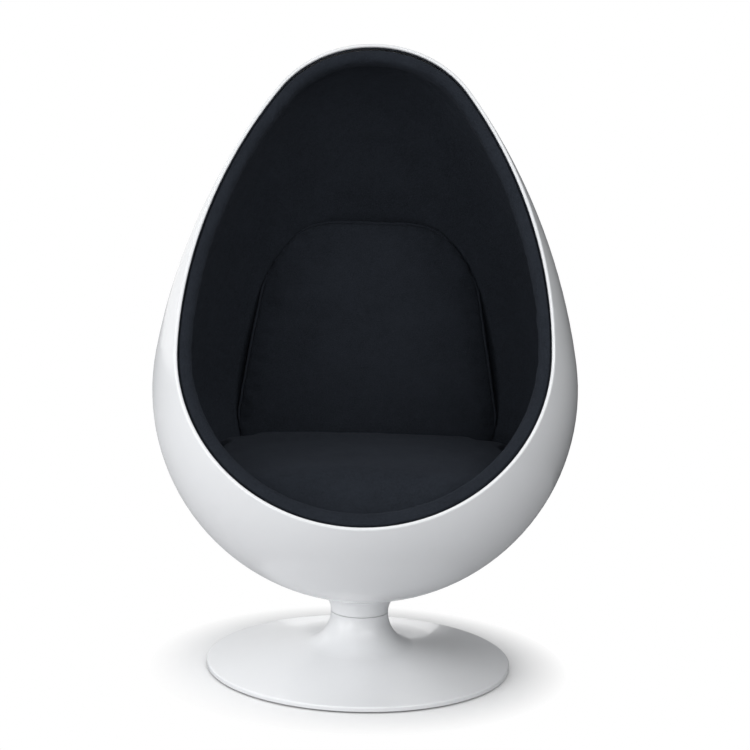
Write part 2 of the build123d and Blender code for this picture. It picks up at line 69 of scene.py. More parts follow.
class Graph:
    """Adds nodes to one shader tree and links them."""

    def __init__(self, tree: bpy.types.NodeTree) -> None:
        """Args: tree: the tree that the nodes go into."""
        self.tree = tree

    def add(self, kind: str, **settings: object) -> Node:
        """Adds a node.

        Args:
            kind: the node's Blender type.
            settings: properties to set on it.

        Returns:
            The new node.
        """
        node = self.tree.nodes.new(kind)
        for name, value in settings.items():
            setattr(node, name, value)
        return node

    def put(self, socket: Socket, value: object) -> None:
        """Links a value to a socket, or sets a plain one on it.

        Args:
            socket: the input.
            value: a plain value or an output socket.
        """
        if isinstance(value, Socket):
            self.tree.links.new(value, socket)
        else:
            socket.default_value = value

    def feed(self, node: Node, **sockets: object) -> Node:
        """Sets or links inputs of a node, named with underscores for spaces.

        Args:
            node: the node to feed.
            sockets: a plain value or an output socket for each input.

        Returns:
            The same node.
        """
        for name, value in sockets.items():
            self.put(node.inputs[name.replace("_", " ")], value)
        return node

    def math(self, operation: str, *values: object, clamp: bool = False) -> Socket:
        """Works out one number from sockets and plain values.

        Args:
            operation: a Math node operation.
            values: its operands in order.
            clamp: keeps the result between 0 and 1.

        Returns:
            The result's socket.
        """
        node = self.add("ShaderNodeMath", operation=operation, use_clamp=clamp)
        for socket, value in zip(node.inputs, values):
            self.put(socket, value)
        return node.outputs[0]

    def spread(self, value: object, low: float, high: float,
               to_low: float = 0.0, to_high: float = 1.0) -> Socket:
        """Maps a range of a value onto another range, clamped.

        Args:
            value: the socket to map.
            low: input that gives to_low.
            high: input that gives to_high.
            to_low: first end of the result.
            to_high: second end of the result.

        Returns:
            The mapped socket.
        """
        node = self.add("ShaderNodeMapRange")
        self.feed(node, Value=value, From_Min=low, From_Max=high, To_Min=to_low, To_Max=to_high)
        return node.outputs["Result"]

    def blend(self, factor: object, first: object, second: object) -> Socket:
        """Mixes two colours.

        Args:
            factor: 0 gives the first and 1 the second.
            first: a colour or a socket.
            second: a colour or a socket.

        Returns:
            The mixed colour's socket.
        """
        node = self.add("ShaderNodeMix", data_type="RGBA")
        self.put(node.inputs[0], factor)
        for socket, color in ((node.inputs[6], first), (node.inputs[7], second)):
            self.put(socket, (*color, 1.0) if isinstance(color, tuple) else color)
        return node.outputs[2]

    def mix(self, factor: Socket, first: Socket, second: Socket) -> Socket:
        """Mixes two shaders.

        Args:
            factor: 0 gives the first and 1 the second.
            first: a shader's socket.
            second: a shader's socket.

        Returns:
            The mixed shader's socket.
        """
        node = self.add("ShaderNodeMixShader")
        for socket, value in zip(node.inputs, (factor, first, second)):
            self.put(socket, value)
        return node.outputs[0]

    def split(self, vector: Socket) -> Node:
        """The node that splits a vector into X, Y and Z."""
        return self.feed(self.add("ShaderNodeSeparateXYZ"), Vector=vector)

    def noise(self, vector: Socket, scale: object, detail: float = 3.0) -> Socket:
        """Smooth noise from 0 to 1 at a scale per metre."""
        node = self.feed(self.add("ShaderNodeTexNoise"), Vector=vector, Scale=scale, Detail=detail)
        return node.outputs["Fac"]

    def bump(self, height: Socket, depth: float, strength: float = 1.0) -> Socket:
        """Makes a normal from a height.

        Args:
            height: the height's socket.
            depth: metres between the lowest and the highest.
            strength: the share of it that shows.

        Returns:
            The normal's socket.
        """
        node = self.add("ShaderNodeBump")
        self.feed(node, Height=height, Distance=depth, Strength=strength)
        return node.outputs["Normal"]

    def effect(self, effect: "Effect", **sockets: object) -> Node:
        """Places a shared effect in this tree.

        Args:
            effect: which effect.
            sockets: values or sockets for its inputs.

        Returns:
            The group node.
        """
        node = self.add("ShaderNodeGroup", node_tree=EFFECTS.tree(effect))
        return self.feed(node, **sockets)


class Effect(Enum):
    """Surface effects that several finishes share."""

    KNIT = "knit"
    MOTTLE = "mottle"
    DUST = "dust"
    LINT = "lint"
    PEEL = "orange_peel"
    TURNING = "turning_marks"


class Effects:
    """Makes each shared effect's node group once."""

    def __init__(self) -> None:
        """Starts with no group made."""
        self.made: dict[Effect, bpy.types.NodeTree] = {}

    def tree(self, effect: Effect) -> bpy.types.NodeTree:
        """The node group of an effect, made when it is first asked for.

        Args:
            effect: which effect.

        Returns:
            Its node group.
        """
        if effect not in self.made:
            self.made[effect] = getattr(self, effect.value)()
        return self.made[effect]

    def group(self, name: str, inputs: dict[str, float],
              outputs: tuple[str, ...]) -> tuple[Graph, Node, Node]:
        """Opens a new node group with a Vector input.

        Args:
            name: the group's name.
            inputs: name and default of each further number.
            outputs: names of the numbers that it puts out.

        Returns:
            The graph, the group's input node and its output node.
        """
        tree = bpy.data.node_groups.new(name, "ShaderNodeTree")
        tree.interface.new_socket("Vector", in_out="INPUT", socket_type="NodeSocketVector")
        for label, value in inputs.items():
            socket = tree.interface.new_socket(label, in_out="INPUT", socket_type="NodeSocketFloat")
            socket.default_value = value
        for label in outputs:
            tree.interface.new_socket(label, in_out="OUTPUT", socket_type="NodeSocketFloat")
        graph = Graph(tree)
        return graph, graph.add("NodeGroupInput"), graph.add("NodeGroupOutput")

    def knit(self) -> bpy.types.NodeTree:
        """Rows of small stitches that look alike on a face of any direction, with loose fibres; its
        Shade is painted shade, darker where their relief is low.

        Returns:
            The node group.
        """
        graph, taken, given = self.group("knit", {"Pitch": 0.003}, ("Height", "Shade"))
        turns = graph.math("DIVIDE", 2 * math.pi, taken.outputs["Pitch"])
        place = taken.outputs["Vector"]
        warp = graph.feed(graph.add("ShaderNodeTexNoise"), Vector=place, Scale=150.0, Detail=3.0)
        shift = graph.add("ShaderNodeVectorMath", operation="MULTIPLY_ADD")
        wander = (0.009, 0.009, 0.009)
        for socket, value in zip(shift.inputs, (warp.outputs["Color"], wander, place)):
            graph.put(socket, value)
        scaled = graph.add("ShaderNodeVectorMath", operation="SCALE")
        graph.put(scaled.inputs[0], shift.outputs[0])
        graph.put(scaled.inputs["Scale"], turns)
        parts = graph.split(scaled.outputs[0])
        sines = [graph.math("SINE", parts.outputs[k]) for k in range(3)]
        cosines = [graph.math("COSINE", parts.outputs[k]) for k in range(3)]
        waves = [graph.math("MULTIPLY", sines[k], cosines[(k + 1) % 3]) for k in range(3)]
        stitches = graph.math("ADD", graph.math("ADD", waves[0], waves[1]), waves[2])
        stitch = graph.spread(stitches, -1.2, 1.2)
        fibre = graph.noise(place, 1400.0, 4.0)
        height = graph.math("MULTIPLY_ADD", fibre, 0.45, graph.math("MULTIPLY", stitch, 0.55))
        # painted shade: Shade follows the height, so the stitch and fibre valleys come out darker
        graph.feed(given, Height=height, Shade=graph.spread(height, 0.2, 0.8))
        return graph.tree

    def mottle(self) -> bpy.types.NodeTree:
        """Soft uneven patches, large and small.

        Returns:
            The node group.
        """
        graph, taken, given = self.group("mottle", {"Scale": 8.0}, ("Mask",))
        place, scale = taken.outputs["Vector"], taken.outputs["Scale"]
        broad = graph.noise(place, scale, 2.0)
        small = graph.noise(place, graph.math("MULTIPLY", scale, 5.3), 4.0)
        both = graph.math("MULTIPLY_ADD", small, 0.4, graph.math("MULTIPLY", broad, 0.6))
        graph.feed(given, Mask=graph.spread(both, 0.34, 0.66))
        return graph.tree

    def dust(self) -> bpy.types.NodeTree:
        """Dust that settles on faces that look up, in thin patches.

        Returns:
            The node group.
        """
        graph, taken, given = self.group("dust", {"Amount": 0.5}, ("Mask",))
        facing = graph.split(graph.add("ShaderNodeNewGeometry").outputs["Normal"])
        upward = graph.spread(facing.outputs["Z"], 0.25, 0.95)
        patches = graph.spread(graph.noise(taken.outputs["Vector"], 60.0, 3.0), 0.2, 0.8)
        settled = graph.math("MULTIPLY", upward, patches)
        graph.feed(given, Mask=graph.math("MULTIPLY", settled, taken.outputs["Amount"], clamp=True))
        return graph.tree

    def lint(self) -> bpy.types.NodeTree:
        """A few bright specks of lint.

        Returns:
            The node group.
        """
        graph, taken, given = self.group("lint", {"Scale": 28.0}, ("Mask",))
        cells = graph.add("ShaderNodeTexVoronoi")
        graph.feed(cells, Vector=taken.outputs["Vector"], Scale=taken.outputs["Scale"])
        chosen = graph.feed(graph.add("ShaderNodeSeparateColor"), Color=cells.outputs["Color"])
        rare = graph.math("GREATER_THAN", chosen.outputs[0], 0.93)
        near = graph.spread(cells.outputs["Distance"], 0.035, 0.02)
        graph.feed(given, Mask=graph.math("MULTIPLY", rare, near))
        return graph.tree

    def orange_peel(self) -> bpy.types.NodeTree:
        """The slow waves and faint peel of a sprayed or polished coat.

        Returns:
            The node group.
        """
        graph, taken, given = self.group("orange_peel", {"Scale": 150.0}, ("Height",))
        peel = graph.noise(taken.outputs["Vector"], taken.outputs["Scale"], 2.0)
        wave = graph.noise(taken.outputs["Vector"], 9.0, 1.0)
        graph.feed(given, Height=graph.math("MULTIPLY_ADD", wave, 4.0, peel))
        return graph.tree

    def turning_marks(self) -> bpy.types.NodeTree:
        """Fine rings left by turning about the swivel axis, and streaks along it; its Shade is
        painted shade, darker in the ring grooves.

        Returns:
            The node group.
        """
        graph, taken, given = self.group("turning_marks", {"Pitch": 0.0006}, ("Height", "Shade"))
        parts = graph.split(taken.outputs["Vector"])
        square = graph.math("MULTIPLY", parts.outputs["X"], parts.outputs["X"])
        square = graph.math("MULTIPLY_ADD", parts.outputs["Y"], parts.outputs["Y"], square)
        across = graph.math("ADD", graph.math("SQRT", square), parts.outputs["Z"])
        rings = graph.feed(graph.add("ShaderNodeTexNoise", noise_dimensions="1D"), Scale=1.0,
                           Detail=3.0, W=graph.math("DIVIDE", across, taken.outputs["Pitch"]))
        height = rings.outputs["Fac"]
        # painted shade: Shade follows the ring height, so the grooves come out darker
        graph.feed(given, Height=height, Shade=graph.spread(height, 0.3, 0.7))
        return graph.tree


EFFECTS = Effects()


# ---------------------------------------------------------------- finishes

@dataclass(frozen=True)
class Finish:
    """What every finish has: a name, a colour, and how rough and metallic it is."""

    name: str
    color: Rgb
    roughness: float
    metallic: float = 0.0

    def material(self) -> bpy.types.Material:
        """Makes the material.

        Returns:
            The finish's material.
        """
        made = bpy.data.materials.new(self.name)
        made.use_nodes = True
        graph = Graph(made.node_tree)
        shader = made.node_tree.nodes["Principled BSDF"]
        shader.inputs["Metallic"].default_value = self.metallic
        self.dress(graph, shader, graph.add("ShaderNodeTexCoord").outputs["Object"])
        return made

    def dress(self, graph: Graph, shader: Node, place: Socket) -> None:
        """Adds this finish's nodes.

        Args:
            graph: the material's tree.
            shader: its Principled BSDF.
            place: object coordinates in metres.
        """
        raise NotImplementedError

    def shade(self, factor: float) -> Rgb:
        """The finish's colour made lighter or darker."""
        return tuple(min(1.0, part * factor) for part in self.color)


@dataclass(frozen=True)
class GlossCoat(Finish):
    """Polished gelcoat or lacquer: faint peel, uneven gloss, a little dust on top."""

    coat: float = 0.5
    peel: float = 0.00003
    dust: float = 0.25

    def dress(self, graph: Graph, shader: Node, place: Socket) -> None:
        """Adds the peel, the uneven gloss and the dust.

        Args:
            graph: the material's tree.
            shader: its Principled BSDF.
            place: object coordinates in metres.
        """
        patches = graph.effect(Effect.MOTTLE, Vector=place, Scale=5.0).outputs["Mask"]
        dust = graph.effect(Effect.DUST, Vector=place, Amount=self.dust).outputs["Mask"]
        height = graph.effect(Effect.PEEL, Vector=place).outputs["Height"]
        color = graph.blend(patches, self.shade(1.0), self.shade(0.99))
        color = graph.blend(graph.math("MULTIPLY", dust, 0.18), color, self.shade(0.88))
        rough = graph.spread(patches, 0.0, 1.0, self.roughness, self.roughness * 1.12)
        rough = graph.math("MULTIPLY_ADD", dust, 0.22, rough)
        graph.feed(shader, Base_Color=color, Roughness=rough, Normal=graph.bump(height, self.peel))
        graph.feed(shader, Coat_Weight=self.coat, Coat_Roughness=0.04)


@dataclass(frozen=True)
class Knit(Finish):
    """Dense wool knit: stitches and fibres with painted shade in their valleys, a soft bloom,
    uneven pile and specks of lint.
    """

    pitch: float = 0.003
    depth: float = 0.0007
    sheen: float = 0.18
    lint: float = 0.5

    def dress(self, graph: Graph, shader: Node, place: Socket) -> None:
        """Adds the stitches with their painted shade, the uneven pile and the lint.

        Args:
            graph: the material's tree.
            shader: its Principled BSDF.
            place: object coordinates in metres.
        """
        stitches = graph.effect(Effect.KNIT, Vector=place, Pitch=self.pitch)
        pile = graph.effect(Effect.MOTTLE, Vector=place, Scale=11.0).outputs["Mask"]
        specks = graph.effect(Effect.LINT, Vector=place).outputs["Mask"]
        # painted shade: darker colour in the stitch valleys, lighter on the stitch tops
        color = graph.blend(stitches.outputs["Shade"], self.shade(0.62), self.shade(1.3))
        color = graph.blend(graph.math("MULTIPLY", pile, 0.35), color, self.shade(1.45))
        color = graph.blend(graph.math("MULTIPLY", specks, self.lint), color, (0.2, 0.21, 0.23))
        rough = graph.spread(pile, 0.0, 1.0, self.roughness, self.roughness * 0.93)
        normal = graph.bump(stitches.outputs["Height"], self.depth)
        graph.feed(shader, Base_Color=color, Roughness=rough, Normal=normal)
        graph.feed(shader, Sheen_Weight=self.sheen, Sheen_Roughness=0.45,
                   Sheen_Tint=(0.72, 0.8, 1.0, 1.0), Specular_IOR_Level=0.12)


@dataclass(frozen=True)
class Metal(Finish):
    """Machined metal: turning marks with painted shade in their grooves, tarnish in patches and
    edges rubbed bright.
    """

    marks: float = 0.00001
    tarnish: float = 0.35

    def dress(self, graph: Graph, shader: Node, place: Socket) -> None:
        """Adds the turning marks with their painted shade, the tarnish and the bright edges.

        Args:
            graph: the material's tree.
            shader: its Principled BSDF.
            place: object coordinates in metres.
        """
        rings = graph.effect(Effect.TURNING, Vector=place)
        patches = graph.effect(Effect.MOTTLE, Vector=place, Scale=40.0).outputs["Mask"]
        edge = graph.spread(graph.add("ShaderNodeNewGeometry").outputs["Pointiness"], 0.52, 0.6)
        # painted shade: darker colour in the ring grooves, lighter on the ridges
        color = graph.blend(rings.outputs["Shade"], self.shade(0.85), self.shade(1.08))
        color = graph.blend(graph.math("MULTIPLY", patches, self.tarnish), color, self.shade(0.5))
        color = graph.blend(graph.math("MULTIPLY", edge, 0.6), color, self.shade(1.3))
        rough = graph.spread(patches, 0.0, 1.0, self.roughness, self.roughness + 0.2)
        normal = graph.bump(rings.outputs["Height"], self.marks)
        graph.feed(shader, Base_Color=color, Roughness=rough, Normal=normal)


@dataclass(frozen=True)
class Grained(Finish):
    """Plain bulk material with a grain: foam, felt, rubber, nylon or tape."""

    grain: float = 400.0
    depth: float = 0.0003
    contrast: float = 0.3

    def dress(self, graph: Graph, shader: Node, place: Socket) -> None:
        """Adds the grain and the uneven tone.

        Args:
            graph: the material's tree.
            shader: its Principled BSDF.
            place: object coordinates in metres.
        """
        fine = graph.noise(place, self.grain, 5.0)
        patches = graph.effect(Effect.MOTTLE, Vector=place, Scale=14.0).outputs["Mask"]
        dark, pale = self.shade(1 - self.contrast), self.shade(1 + self.contrast)
        color = graph.blend(graph.spread(fine, 0.3, 0.7), dark, pale)
        color = graph.blend(graph.math("MULTIPLY", patches, 0.3), color, self.shade(0.8))
        rough = graph.spread(fine, 0.3, 0.7, self.roughness, min(1.0, self.roughness + 0.08))
        graph.feed(shader, Base_Color=color, Roughness=rough, Normal=graph.bump(fine, self.depth))


@dataclass(frozen=True)
class Plywood(Finish):
    """Birch plywood: long grain on the face, thin dark glue lines on the edge."""

    ply: float = 0.0015

    def dress(self, graph: Graph, shader: Node, place: Socket) -> None:
        """Adds the grain and the plies.

        Args:
            graph: the material's tree.
            shader: its Principled BSDF.
            place: object coordinates in metres.
        """
        along = graph.feed(graph.add("ShaderNodeMapping"), Vector=place, Scale=(6.0, 90.0, 90.0))
        grain = graph.noise(along.outputs[0], 1.0, 6.0)
        height = graph.split(place).outputs["Z"]
        layer = graph.math("SINE", graph.math("MULTIPLY", height, 2 * math.pi / self.ply))
        color = graph.blend(graph.spread(grain, 0.3, 0.7), self.shade(0.75), self.shade(1.15))
        color = graph.blend(graph.spread(layer, 0.8, 1.0, 0.0, 0.5), color, self.shade(0.35))
        rough = graph.spread(grain, 0.3, 0.7, self.roughness, self.roughness + 0.15)
        graph.feed(shader, Base_Color=color, Roughness=rough, Normal=graph.bump(grain, 0.0002))


FINISHES: dict[str, Finish] = {
    "white_gelcoat": GlossCoat("white_gelcoat", (0.85, 0.857, 0.868), 0.24, coat=0.3, dust=0.12),
    "white_lacquer": GlossCoat("white_lacquer", (0.857, 0.864, 0.875), 0.3, coat=0.25, dust=0.15),
    "navy_knit": Knit("navy_knit", (0.0168, 0.0202, 0.0268), 0.95, sheen=0.03, lint=0.25),
    "foam": Grained("foam", (0.7, 0.66, 0.54), 0.95, grain=500.0, depth=0.0008),
    "tape": Grained("tape", (0.02, 0.02, 0.022), 0.8, grain=1200.0, depth=0.0006, contrast=0.6),
    "plywood": Plywood("plywood", (0.62, 0.45, 0.28), 0.5),
    "zinc_steel": Metal("zinc_steel", (0.62, 0.62, 0.6), 0.34, metallic=1.0),
    "ground_steel": Metal("ground_steel", (0.5, 0.5, 0.5), 0.22, metallic=1.0, tarnish=0.2),
    "bronze": Metal("bronze", (0.62, 0.4, 0.19), 0.3, metallic=1.0),
    "nylon": Grained("nylon", (0.8, 0.78, 0.7), 0.45, grain=250.0, depth=0.00005, contrast=0.03),
    "gasket_rubber": Grained("gasket_rubber", (0.02, 0.02, 0.021), 0.7,
                             grain=700.0, depth=0.0001, contrast=0.15),
    "black_plate": Grained("black_plate", (0.02, 0.02, 0.022), 0.5,
                           grain=900.0, depth=0.00006, contrast=0.12),
    "felt": Grained("felt", (0.035, 0.035, 0.037), 1.0, grain=900.0, depth=0.0007, contrast=0.4),
}


class Wardrobe:
    """Makes each finish's material once and puts it on pieces and nodes."""

    def __init__(self) -> None:
        """Starts with no material made."""
        self.made: dict[str, bpy.types.Material] = {}

    def material(self, slot: str) -> bpy.types.Material:
        """The material of a slot of the record.

        Args:
            slot: the slot's name.

        Returns:
            Its material.
        """
        if slot not in self.made:
            self.made[slot] = FINISHES[slot].material()
        return self.made[slot]

    def dress_nodes(self) -> None:
        """Gives every carried-over node its finish."""
        for part in frame["record"]["subparts"]:
            node = frame["nodes"][part["node"]]
            for place in node.material_slots:
                place.material = self.material(part["material_slot"])
            LOG.info("dressed %s with %s", part["node"], part["material_slot"])

    def dress_piece(self, piece: Piece, slot: str, body: str) -> None:
        """Gives a new piece its finish and sets it on a body.

        Args:
            piece: the finished piece.
            slot: the record's slot that it takes its finish from.
            body: the body that it rides on.
        """
        piece.data.materials.clear()
        piece.data.materials.append(self.material(slot))
        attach(piece, body)
        LOG.info("made %s: %d faces", piece.name, len(piece.data.polygons))


WARDROBE = Wardrobe()


# ---------------------------------------------------------------- meshes

def new_piece(form: Form, name: str) -> Piece:
    """Turns a bmesh into a smooth-shaded object in the scene.

    Args:
        form: the mesh, which is freed.
        name: the new object's name.

    Returns:
        The object.
    """
    mesh = bpy.data.meshes.new(name)
    form.to_mesh(mesh)
    form.free()
    mesh.shade_smooth()
    piece = bpy.data.objects.new(name, mesh)
    bpy.context.scene.collection.objects.link(piece)
    return piece


def settle_modifiers(piece: Piece) -> None:
    """Applies all modifiers of a piece to its mesh.

    Args:
        piece: the piece.
    """
    graph = bpy.context.evaluated_depsgraph_get()
    mesh = bpy.data.meshes.new_from_object(piece.evaluated_get(graph))
    piece.modifiers.clear()
    piece.data = mesh


def shift_along_normals(piece: Piece, shift: Callable[[Vector], float]) -> None:
    """Moves each vertex along its normal.

    Args:
        piece: the piece to change.
        shift: the outward move in metres for a point.
    """
    normals = [vertex.normal.copy() for vertex in piece.data.vertices]
    for vertex, normal in zip(piece.data.vertices, normals):
        vertex.co += normal * shift(vertex.co)


def weld(form: Form, distance: float) -> None:
    """Merges vertices that lie closer than a distance and turns the faces outwards."""
    bmesh.ops.remove_doubles(form, verts=form.verts[:], dist=distance)
    bmesh.ops.recalc_face_normals(form, faces=form.faces[:])


def cut(form: Form, point: Vector, normal: Vector, clear: bool = False) -> list[Edge]:
    """Cuts a mesh by a plane.

    Args:
        form: the mesh.
        point: a point on the plane.
        normal: the direction that the plane faces.
        clear: also takes away what lies in front of it.

    Returns:
        The edges along the cut.
    """
    everything = form.verts[:] + form.edges[:] + form.faces[:]
    made = bmesh.ops.bisect_plane(form, geom=everything, dist=CUT_TOLERANCE, plane_co=point,
                                  plane_no=normal, clear_outer=clear)
    return [item for item in made["geom_cut"] if isinstance(item, Edge)]


def relax(form: Form, verts: list[Vert], rounds: int) -> None:
    """Moves vertices half way to the middle of their neighbours.

    Args:
        form: the mesh.
        verts: the vertices that move.
        rounds: how often.
    """
    for _ in range(rounds):
        bmesh.ops.smooth_vert(form, verts=verts, factor=0.5,
                              use_axis_x=True, use_axis_y=True, use_axis_z=True)


def remesh(piece: Piece, voxel: float) -> None:
    """Gives a closed piece an even mesh.

    Args:
        piece: the piece.
        voxel: the length of a face's side.
    """
    even = piece.modifiers.new("Remesh", "REMESH")
    even.mode = "VOXEL"
    even.voxel_size = voxel
    settle_modifiers(piece)


def soften(piece: Piece) -> None:
    """Puts one level of subdivision on a piece."""
    finer = piece.modifiers.new("Subdivision", "SUBSURF")
    finer.levels = finer.render_levels = 1


def copy_of_node(node: str, name: str) -> Piece:
    """Copies a node's mesh into a new, closed piece.

    Args:
        node: the CAD node.
        name: the new piece's name.

    Returns:
        The new piece.
    """
    form = bmesh.new()
    form.from_mesh(frame["nodes"][node].data)
    weld(form, NODE_WELD)
    return new_piece(form, name)


def arc(form: Form, start: Vert, centre: Vector, angle: float, steps: int) -> Vert:
    """Draws an arc of edges by turning a vertex, from +X towards +Z.

    Args:
        form: the bmesh to draw in.
        start: the vertex that the arc starts at.
        centre: the arc's centre.
        angle: radians turned.
        steps: edges in the arc.

    Returns:
        The vertex at the arc's end.
    """
    turned = bmesh.ops.spin(form, geom=[start], cent=centre, axis=(0, -1, 0),
                            angle=angle, steps=steps)
    return next(item for item in turned["geom_last"] if isinstance(item, Vert))


def loop_points(edges: list[Edge]) -> list[Vector]:
    """Points of one closed loop of edges, in order round it.

    Args:
        edges: the edges of the loop, in any order.

    Returns:
        The points.
    """
    wanted = set(edges)
    edge = edges[0]
    vertex = edge.verts[0]
    points = []
    while edge is not None:
        points.append(vertex.co.copy())
        wanted.discard(edge)
        vertex = edge.other_vert(vertex)
        edge = next((found for found in vertex.link_edges if found in wanted), None)
    return points


def eased(points: list[Vector], rounds: int) -> list[Vector]:
    """Smooths a closed row of points.

    Args:
        points: the row.
        rounds: how often each point moves towards its neighbours.

    Returns:
        The smoothed row.
    """
    count = len(points)
    for _ in range(rounds):
        points = [(points[k - 1] + 2 * points[k] + points[(k + 1) % count]) / 4
                  for k in range(count)]
    return points


# ---------------------------------------------------------------- the egg

@dataclass(frozen=True)
class EggForm:
    """The egg that the pod is cut from, in metres, and the plane of its opening."""

    cap_radius: float = 0.428
    length: float = 1.138
    crown_radius: float = 0.245
    flank_radius: float = 1.238
    lean: float = math.radians(11.5)
    centre_height: float = 0.5732
    opening_lean: float = math.radians(30.0)
    opening_reach: float = 0.227
    turns: int = 176
    arc_steps: int = 36

    @property
    def placing(self) -> Matrix:
        """From the egg's own axes, centred on its lower cap, into the chair."""
        return Matrix.Translation((0, 0, self.centre_height)) @ Matrix.Rotation(-self.lean, 4, "X")

    @property
    def out(self) -> Vector:
        """The direction that the opening faces."""
        return Vector((0, -math.cos(self.opening_lean), math.sin(self.opening_lean)))

    def opening_point(self, setback: float) -> Vector:
        """A point on the opening's plane, moved back into the pod by a setback."""
        return Vector((0, 0, self.centre_height)) + self.out * (self.opening_reach - setback)

    def profile(self, form: Form, inset: float) -> None:
        """Draws half the egg's outline: lower cap, flank and crown.

        Args:
            form: the bmesh to draw in.
            inset: how far inside the egg's surface.
        """
        cap_distance = self.length - self.cap_radius - self.crown_radius
        to_cap = self.flank_radius - self.cap_radius
        to_crown = self.flank_radius - self.crown_radius
        flank_up = (to_cap**2 - to_crown**2 + cap_distance**2) / (2 * cap_distance)
        flank_out = math.sqrt(to_cap**2 - flank_up**2)
        cap_end = math.atan2(-flank_up, flank_out)
        crown_start = math.atan2(cap_distance - flank_up, flank_out)
        low = form.verts.new((0, 0, inset - self.cap_radius))
        low = arc(form, low, Vector(), math.pi / 2 + cap_end, self.arc_steps)
        centre = Vector((-flank_out, 0, flank_up))
        low = arc(form, low, centre, crown_start - cap_end, self.arc_steps)
        arc(form, low, Vector((0, 0, cap_distance)), math.pi / 2 - crown_start, self.arc_steps // 2)

    def surface(self, inset: float) -> Form:
        """Makes a whole egg that lies inside the pod's surface.

        Args:
            inset: how far inside.

        Returns:
            The egg.
        """
        form = bmesh.new()
        self.profile(form, inset)
        bmesh.ops.spin(form, geom=form.verts[:] + form.edges[:], cent=(0, 0, 0), axis=UP,
                       angle=2 * math.pi, steps=self.turns, use_merge=True)
        weld(form, EGG_WELD)
        bmesh.ops.transform(form, matrix=self.placing, verts=form.verts[:])
        return form

    def cut_opening(self, form: Form, setback: float) -> None:
        """Cuts away what lies in front of the opening's plane."""
        cut(form, self.opening_point(setback), self.out, clear=True)

    def layer(self, outer: float, inner: float, setback: float, floor: float) -> Form:
        """A closed wall between two insets, open at the front and round the swivel.

        Args:
            outer: inset of its outer face.
            inner: inset of its inner face.
            setback: how far behind the opening's plane it ends.
            floor: height of the round hole's edge at the bottom.

        Returns:
            The wall.
        """
        form = self.surface(outer)
        self.cut_opening(form, setback)
        cut(form, Vector((0, 0, floor)), -UP, clear=True)
        bmesh.ops.solidify(form, geom=form.faces[:], thickness=inner - outer)
        return form


EGG = EggForm()


# ---------------------------------------------------------------- soft goods

@dataclass(frozen=True)
class Crown:
    """The domed face of a cushion: part of a large sphere."""

    top: Vector
    direction: Vector
    radius: float
    seam_depth: float
    seam_fall: float = 0.0

    @property
    def seam_normal(self) -> Vector:
        """The direction square to the seam's plane, which may fall towards the front."""
        return (self.direction + Vector((0, -self.seam_fall, 0))).normalized()

    def drop(self, point: Vector) -> float:
        """How far the dome has fallen away beside its top.

        Args:
            point: a point on or under the dome.

        Returns:
            The fall in metres.
        """
        across = point - self.top
        across = across - self.direction * across.dot(self.direction)
        return self.radius - math.sqrt(max(0.0, self.radius**2 - across.length_squared))

    def above_seam(self, point: Vector) -> float:
        """How far a point lies above the seam, with the dome pressed flat."""
        raised = point + self.direction * (self.drop(point) + self.seam_depth)
        return (raised - self.top).dot(self.seam_normal)

    def seam(self, piece: Piece) -> list[Vector]:
        """The line that the seam follows on a piece.

        Args:
            piece: the piece that the line lies on.

        Returns:
            The line's points, in order.
        """
        form = bmesh.new()
        form.from_mesh(piece.data)
        for vertex in form.verts:
            vertex.co += self.direction * self.drop(vertex.co)
        middle = self.top - self.direction * self.seam_depth
        points = loop_points(cut(form, middle, self.seam_normal))
        form.free()
        return [point - self.direction * self.drop(point) for point in points]


